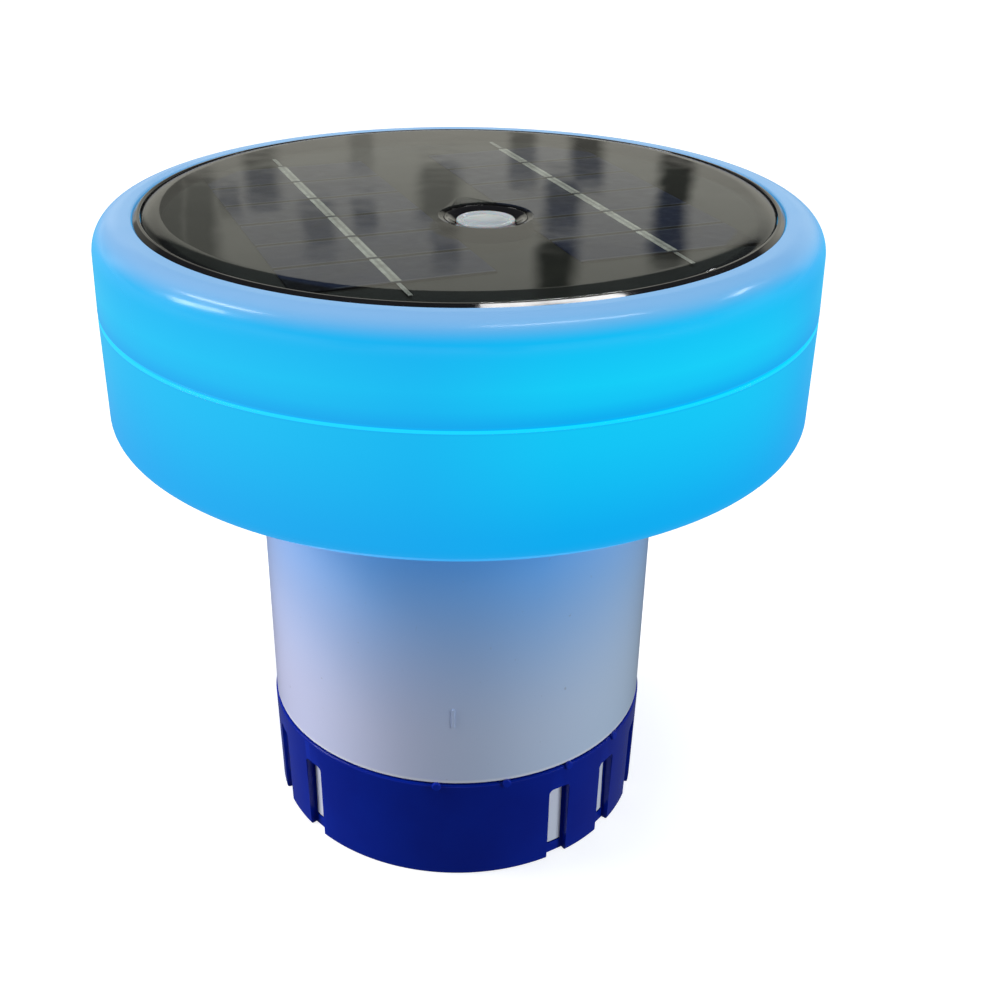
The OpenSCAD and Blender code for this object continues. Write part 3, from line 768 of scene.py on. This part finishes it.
def make_canister():
    """White cup with a snap bead, a step, vents, a threaded neck and a small moulded index."""
    inside = CANISTER_R - CANISTER_WALL
    low_in = LOW_R - 2.35
    neck_in = NECK_R - CANISTER_WALL
    bottom = FLOOR_Z + 2.4
    outline = [
        (0, FLOOR_Z), (LOW_R, FLOOR_Z, 0.5), (LOW_R, BEAD_Z - 0.5), (LOW_R + 0.35, BEAD_Z, 0.2),
        (LOW_R, BEAD_Z + 0.5), (LOW_R, STEP_Z, 0.2), (FOOT_R, STEP_Z, 0.35), (CANISTER_R, SHOULDER_Z, 0.4),
        (NECK_R, SHOULDER_Z, 0.3), (NECK_R, NECK_TOP, 0.5), (neck_in, NECK_TOP, 0.5),
        (neck_in, SHOULDER_Z - 0.6, 1.0), (inside, SHOULDER_Z - 3.4, 1.0),
        (inside - 0.3, STEP_Z + 2.6, 0.8), (low_in, STEP_Z + 0.6, 0.8), (low_in, bottom, 0.8), (0, bottom)]
    body = revolve("canister_body", outline)
    depths = [(low_in - 1, 0), (LOW_R - 0.25, 0), (LOW_R + 0.75, 1)]
    carve(body, slot_tools(VENT_SHIFT, FLOOR_Z + 3, SLOT_TOP, depths))
    ribs = thread_ribs("rib", NECK_R - 0.3, RIB_OUT, SHOULDER_Z + 3.5, 0, 198, 1.8)
    index = make_block("index", (FOOT_R - 0.5, -0.35, 43), (FOOT_R + 0.32, 0.35, 48), MARK_ANGLE + 4.7, 0.1)
    carve(body, ribs + [index], "UNION")
    fit_out(smooth(body), "canister", "canister_plastic", "tablet_canister")


def make_block(name, low_corner, high_corner, angle, bevel=0.12):
    """Bevelled block between two corners, turned about the vertical axis."""
    bm = bmesh.new()
    bmesh.ops.create_cube(bm, size=1)
    size = Vector(high_corner) - Vector(low_corner)
    bmesh.ops.scale(bm, vec=size, verts=bm.verts)
    bmesh.ops.bevel(bm, geom=bm.edges[:], offset=bevel, segments=2, affect="EDGES", profile=0.6)
    bmesh.ops.translate(bm, vec=(Vector(low_corner) + Vector(high_corner)) / 2, verts=bm.verts)
    turn = Matrix.Rotation(math.radians(angle), 3, "Z")
    bmesh.ops.rotate(bm, cent=(0, 0, 0), matrix=turn, verts=bm.verts)
    return add_object(name, bm)


def make_mark(angle):
    """Small round setting mark that stands over the cap's rim."""
    radius = 1.05
    deep = 0.75
    chamfer = 0.2
    steps = 20
    base = FOOT_R + 0.12
    depths = ((base, radius), (base + deep - chamfer, radius), (base + deep, radius - chamfer))
    last = 360 * (steps - 1) / steps
    outlines = [(r, arc(0, CAP_TOP - 0.25, size, size, 0, last, steps - 1)) for r, size in depths]
    return loft("mark", [on_wall(angle, r, outline) for r, outline in outlines])


def make_cap():
    """Navy cap with slots, setting marks, a bead groove, and rings and ribs under its floor."""
    groove = 0.75
    floor_low, floor_high = 1.0, 2.6
    outline = [
        (0, floor_low), (CAP_BORE - 1.2, floor_low, 0.2), (CAP_BORE - 0.2, 0, 0.2), (FOOT_R - 0.2, 0, 0.6),
        (CANISTER_R + 0.05, CAP_TOP, 0.6), (CAP_BORE, CAP_TOP, 0.4), (CAP_BORE, BEAD_Z + groove),
        (CAP_BORE + 0.4, BEAD_Z, 0.2), (CAP_BORE, BEAD_Z - groove), (CAP_BORE, floor_high, 0.5),
        (0, floor_high)]
    cap = revolve("flow_cap_body", outline)
    rib_low, rib_high, half = 0.4, 1.2, 0.6
    rings = (14, 30)
    extras = [revolve("rim", [(r - half, rib_low, 0.15), (r + half, rib_low, 0.15), (r + half, rib_high),
                              (r - half, rib_high)], SMALL_SEGMENTS) for r in rings]
    extras += [make_block("rib", (rings[0], -half, rib_low), (CAP_BORE - 1.5, half, rib_high), angle)
               for angle in range(0, 360, 60)]
    extras += [make_mark(MARK_ANGLE + k * SLOT_PITCH) for k in range(MARKS)]
    carve(cap, extras, "UNION")
    depths = [(CAP_BORE - 0.05, 0), (FOOT_R - 0.15, 0), (FOOT_R + 1.85, 1)]
    carve(cap, slot_tools(0, -1, SLOT_TOP, depths))
    fit_out(smooth(cap), "flow_cap", "cap_plastic", "flow_cap")


def make_ring(name, outline, body, slot, node, segments=SEGMENTS, centre=(0, 0)):
    """Piece that is one solid of revolution."""
    fit_out(smooth(revolve(name, outline, segments, centre)), body, slot, node)


def make_plate(name, size, centre, z, chamfer):
    """Flat tile with chamfered edges, turned with the panel."""
    bm = bmesh.new()
    bmesh.ops.create_cube(bm, size=1)
    bmesh.ops.scale(bm, vec=size, verts=bm.verts)
    bmesh.ops.bevel(bm, geom=bm.edges[:], offset=chamfer, segments=2, affect="EDGES", profile=0.7)
    bmesh.ops.translate(bm, vec=(*centre, z + size[2] / 2), verts=bm.verts)
    bmesh.ops.rotate(bm, cent=(0, 0, 0), matrix=Matrix.Rotation(PANEL_TURN, 3, "Z"), verts=bm.verts)
    return add_object(name, bm)


def make_cells():
    """Two strings of separate cells."""
    size = (CELL_W, CELL_PITCH - CELL_GAP, CELL_T)
    for side, word in SIDES:
        for k in range(CELLS):
            y = STRING_MID + CELL_PITCH * (k - (CELLS - 1) / 2)
            cell = make_plate(f"cell_{word}_{k + 1}", size, (side * STRING_X, y), CELL_Z, 0.06)
            fit_out(smooth(cell), "head", "cell_silicon", "solar_cells")


def make_ribbons():
    """A wide ribbon along each string, with a narrow tail past both of its ends."""
    length = CELL_PITCH * CELLS
    for side, word in SIDES:
        at = (side * STRING_X, STRING_MID)
        strip = make_plate("strip", (2.0, length, 0.15), at, RIBBON_Z, 0.04)
        tail = make_plate("tail", (0.8, length + 15.4, 0.12), at, RIBBON_Z + 0.01, 0.03)
        ribbon = join([strip, tail], f"ribbon_{word}")
        fit_out(smooth(ribbon), "head", "ribbon_tin", "cell_ribbons")


def make_panel():
    """Clear resin with a domed edge and a hole for the button, and the black edge round it."""
    dome = arc(PANEL_R - DOME_W, TOP - DOME_DROP, DOME_W, DOME_DROP, 0, 90, 24)
    under = RIBBON_Z + 0.2
    resin = revolve("panel_top", [(0, under), (PANEL_R, under)] + dome + [(0, TOP)])
    mouth_r = COLLAR_R + 1.6
    hole = [(0, CELL_Z - 1), (COLLAR_R, CELL_Z - 1), (COLLAR_R, TOP - 0.3, 0.4), (mouth_r, TOP + 0.02, 0.8),
            (mouth_r, TOP + 2), (0, TOP + 2)]
    carve(resin, [revolve("hole", hole, SMALL_SEGMENTS, BUTTON_AT[:2])])
    fit_out(smooth(resin, 50), "head", "panel_resin", "panel_resin")
    r_in = PANEL_R + PANEL_FIT
    r_out = RECESS_R - PANEL_FIT
    bevel_w, bevel_drop = 1.0, 0.75
    outline = [(r_in, LEDGE_Z), (r_out, LEDGE_Z), (r_out, RIM_TOP - bevel_drop, 0.15),
               (r_out - bevel_w, RIM_TOP, 0.3), (r_in, RIM_TOP, 0.3)]
    make_ring("panel_edge", outline, "head", "bezel_black", "panel_bezel")


def make_button():
    """Black collar with a funnel top, and the milky button that it holds from below by its flange."""
    centre = BUTTON_AT[:2]
    low_z = BOARD_Z - 5.4
    stop_z = BOARD_Z - 1.2
    board_under = BOARD_Z - 1.4
    step = BUTTON_R + 1.5
    outer = COLLAR_R - 0.05
    lug = COLLAR_R + 1.4
    collar = [(step, low_z, 0.2), (outer, low_z, 0.3), (outer, board_under, 0.1), (lug, board_under, 0.2),
              (lug, BOARD_Z, 0.1), (outer, BOARD_Z, 0.1), (outer, TOP - 0.3, 0.1),
              (COLLAR_R - 0.8, TOP - 0.5, 0.9), (BUTTON_BORE + 0.6, TOP - 1.2, 0.9),
              (BUTTON_BORE, TOP - 1.6, 0.2), (BUTTON_BORE, stop_z, 0.1), (step, stop_z, 0.1)]
    make_ring("button_collar", collar, "head", "bezel_black", "button_bezel", SMALL_SEGMENTS, centre)
    stem = 2.2
    bottom = low("power_button").z
    flange = BUTTON_R + 1.1
    flange_under = BOARD_Z - 2.6
    dish_z = BUTTON_Z - 0.25
    cap = [(0, bottom), (stem, bottom, 0.3), (stem, flange_under, 0.3), (flange, flange_under, 0.3),
           (flange, board_under, 0.3), (BUTTON_R, board_under, 0.1), (BUTTON_R, BUTTON_Z, 0.45),
           (BUTTON_R - 0.9, BUTTON_Z, 0.3), (BUTTON_R - 1.4, dish_z, 0.3)]
    cap += arc(0, dish_z, BUTTON_R - 1.6, 0.35, 6, 90, 14)
    make_ring("button_dome", cap, "power_button", "button_milky", "power_button", SMALL_SEGMENTS, centre)


def make_seals():
    """The ring that shows in the float's seam, and the gasket on the canister's shoulder."""
    inner = FLOAT_R - SHELL_WALL + 0.2
    outer = FLOAT_R - 0.04
    z0, z1 = SEAM_Z - SEAM_HALF, SEAM_Z + SEAM_HALF
    seam = [(inner, z0), (outer, z0, 0.05), (outer, z1, 0.05), (inner, z1)]
    make_ring("seam_ring", seam, "head", "seal_rubber", "shell_seal")
    inner = RIB_OUT + 0.15
    outer = CANISTER_R - GASKET_GAP
    z0, z1 = low("neck_gasket").z, high("neck_gasket").z
    gasket = [(inner, z0, 0.1), (outer, z0, 0.3), (outer, z1, 0.3), (inner, z1, 0.1)]
    make_ring("neck_ring", gasket, "neck_gasket", "black_rubber", "neck_gasket")


def dress_frame():
    """Finishes the CAD nodes that keep their own shape."""
    slots = {part["node"]: part["material_slot"] for part in frame["record"]["subparts"]}
    for node, obj in frame["nodes"].items():
        obj.data.materials.clear()
        obj.data.materials.append(LOOKS[slots[node]])


# ---------------------------------------------------------------- stage, lights, camera
def make_stage():
    """Pale paper floor, which is clear when it is seen from below."""
    bm = bmesh.new()
    bmesh.ops.create_grid(bm, x_segments=2, y_segments=2, size=6000)
    floor = add_object("floor", bm)
    look, tree, shader = start("floor_paper", Emission_Strength=1.0)
    paper = mix(tree, grain(tree, 400, 2), (0.50, 0.50, 0.50), (0.47, 0.47, 0.475))
    paint(tree, shader, paper, grain(tree, 3, 4), 0.7, 0.85)
    far = spread(tree, away_from(tree, 0, 0), 0.25, 1.6, 0.0, 1.0, "SMOOTHSTEP")
    tree.links.new(mix(tree, far, (0.80, 0.80, 0.80), (0.98, 0.98, 0.98)), shader.inputs["Emission Color"])
    under = add(tree, "ShaderNodeNewGeometry").outputs["Backfacing"]
    clear = add(tree, "ShaderNodeBsdfTransparent")
    both = add(tree, "ShaderNodeMixShader", {0: under, 1: shader.outputs[0], 2: clear.outputs[0]})
    tree.links.new(both.outputs[0], tree.nodes["Material Output"].inputs["Surface"])
    floor.data.materials.append(look)
    floor.visible_glossy = False
    floor.visible_diffuse = False


# Height of the point on the axis that the lights in the gloss are aimed at, in metres
LIGHT_AIM = 0.14


def add_area(name, at, size, radiance, aim_z=LIGHT_AIM, colour=(1, 1, 1), mirrored=True, spin=0):
    """Softbox aimed at the object's axis, which the camera doesn't see; lengths in metres."""
    light = bpy.data.lights.new(name, "AREA")
    light.shape = "RECTANGLE"
    light.size, light.size_y = size
    light.energy = radiance * math.pi * size[0] * size[1]
    light.color = colour
    obj = bpy.data.objects.new(name, light)
    obj.location = at
    aim = (Vector((0, 0, aim_z)) - Vector(at)).to_track_quat("-Z", "Y")
    obj.rotation_euler = (aim @ Quaternion((0, 0, 1), math.radians(spin))).to_euler()
    obj.visible_camera = False
    obj.visible_glossy = mirrored
    bpy.context.scene.collection.objects.link(obj)


# Dark uprights of the room, which the panel mirrors: azimuth from the back and half width in degrees,
# depth, and the sines of their lowest and highest elevation
UPRIGHTS = (
    (-12.6, 0.9, 0.60, 0.20, 0.30), (-11.2, 0.8, 0.60, 0.235, 0.32), (-9.9, 0.5, 0.50, 0.245, 0.268),
    (-8.3, 0.8, 0.60, 0.225, 0.262), (-6.1, 0.7, 0.45, 0.26, 0.295), (-4.2, 0.45, 0.30, 0.10, 0.24),
    (-4.1, 0.5, 0.60, 0.26, 0.28), (-0.9, 0.9, 0.55, 0.235, 0.275), (-0.6, 0.6, 0.50, 0.28, 0.305),
    (2.8, 0.6, 0.55, 0.205, 0.25), (5.5, 0.65, 0.75, 0.205, 0.25), (4.5, 0.75, 0.75, 0.243, 0.28),
    (4.45, 0.85, 0.95, 0.284, 0.345), (9.15, 0.72, 0.92, 0.225, 0.30),
    (62, 9, 0.6, 0.1, 0.4), (112, 14, 0.6, 0.1, 0.4), (166, 6, 0.6, 0.1, 0.4),
    (-36, 9, 0.7, 0.1, 0.4), (-66, 12, 0.75, 0.1, 0.4), (-97, 12, 0.6, 0.1, 0.4), (-150, 8, 0.6, 0.1, 0.4))


# Colour of the room by height: 0 straight down, 0.5 at the horizon, 1 straight up
ROOM = ((0.0, (0.10, 0.11, 0.14)), (0.34, (0.10, 0.11, 0.14)), (0.50, (0.34, 0.35, 0.38)),
        (0.56, (0.64, 0.63, 0.56)), (0.60, (0.66, 0.65, 0.57)), (0.675, (0.46, 0.455, 0.40)),
        (0.70, (0.04, 0.04, 0.04)), (1.0, (0.06, 0.06, 0.065)))
SWAY = 0.004
SOFT_END = 0.012


def make_world():
    """Room round the object: white where the camera sees it, dim with dark uprights in reflections."""
    world = bpy.data.worlds.new("studio")
    world.use_nodes = True
    tree = world.node_tree
    towards_room = add(tree, "ShaderNodeTexCoord").outputs["Generated"]
    axes = add(tree, "ShaderNodeSeparateXYZ", {"Vector": towards_room})
    x, y, up = (axes.outputs[i] for i in range(3))
    walls = ramp_of(tree, spread(tree, up, -1, 1), ROOM)
    sway = add(tree, "ShaderNodeTexNoise", {"Vector": towards_room, "Scale": 9.0}).outputs["Fac"]
    sway = spread(tree, sway, 0.3, 0.7, -SWAY, SWAY)
    azimuth = math_node(tree, "ADD", math_node(tree, "ARCTAN2", x, y), sway)
    shade = 0.0
    for at, half, depth, lowest, highest in UPRIGHTS:
        gap = math_node(tree, "ABSOLUTE", math_node(tree, "SUBTRACT", azimuth, math.radians(at)))
        wide = math.radians(half)
        bar = spread(tree, gap, wide * 1.5, wide * 0.5, 0.0, depth, "SMOOTHSTEP")
        over = spread(tree, up, lowest - SOFT_END, lowest + SOFT_END, 0.0, 1.0, "SMOOTHSTEP")
        under = spread(tree, up, highest + SOFT_END, highest - SOFT_END, 0.0, 1.0, "SMOOTHSTEP")
        bar = math_node(tree, "MULTIPLY", bar, math_node(tree, "MULTIPLY", over, under))
        shade = math_node(tree, "MAXIMUM", shade, bar)
    room = mix(tree, 1.0, walls, math_node(tree, "SUBTRACT", 1.0, shade), "MULTIPLY")
    seen = add(tree, "ShaderNodeLightPath").outputs["Is Camera Ray"]
    tree.links.new(mix(tree, seen, room, (1, 1, 1)), tree.nodes["Background"].inputs["Color"])
    bpy.context.scene.world = world


def make_lights():
    """Soft fill that leaves no highlight, and thin strips that leave the streaks along the rim."""
    add_area("overhead", (0.15, -0.05, 1.3), (0.6, 0.4), 8.5, 0.1, mirrored=False)
    add_area("left_panel", (-1.2, 0.0, 0.35), (0.7, 0.7), 8.2, 0.05, (0.95, 0.95, 1.0), False)
    add_area("right_panel", (1.08, -0.48, 0.38), (0.4, 0.7), 8.2, 0.05, (0.86, 0.94, 1.0), False)
    add_area("left_strip", (-0.83, 0.10, 0.97), (0.42, 0.08), 16, spin=41)
    add_area("left_low_strip", (-1.05, -0.04, 0.70), (0.38, 0.17), 13, spin=41)
    add_area("right_tube", (0.31, -0.036, 1.085), (0.52, 0.045), 15, spin=118)
    add_area("right_spot", (0.85, 0.33, 0.80), (0.2, 0.05), 12)


def make_camera():
    """Camera at the fitted place: 62.37 degrees from straight down, with a slight roll in radians."""
    data = bpy.data.cameras.new("camera")
    data.sensor_width = 36
    data.lens = 48.33
    data.shift_x = 0.0428
    data.clip_start = 0.01
    camera = bpy.data.objects.new("camera", data)
    camera.location = (0, -0.2866, 0.2259)
    tilt = Matrix.Rotation(math.radians(62.37), 3, "X")
    roll = Matrix.Rotation(0.004, 3, "Z")
    camera.rotation_euler = (tilt @ roll).to_euler()
    scene = bpy.context.scene
    scene.collection.objects.link(camera)
    scene.camera = camera
    scene.view_settings.view_transform = "Standard"


dress_frame()
make_upper_shell()
make_lower_shell()
make_canister()
make_cap()
make_seals()
make_cells()
make_ribbons()
make_panel()
make_button()
make_stage()
make_world()
make_lights()
make_camera()

bpy.context.view_layer.update()
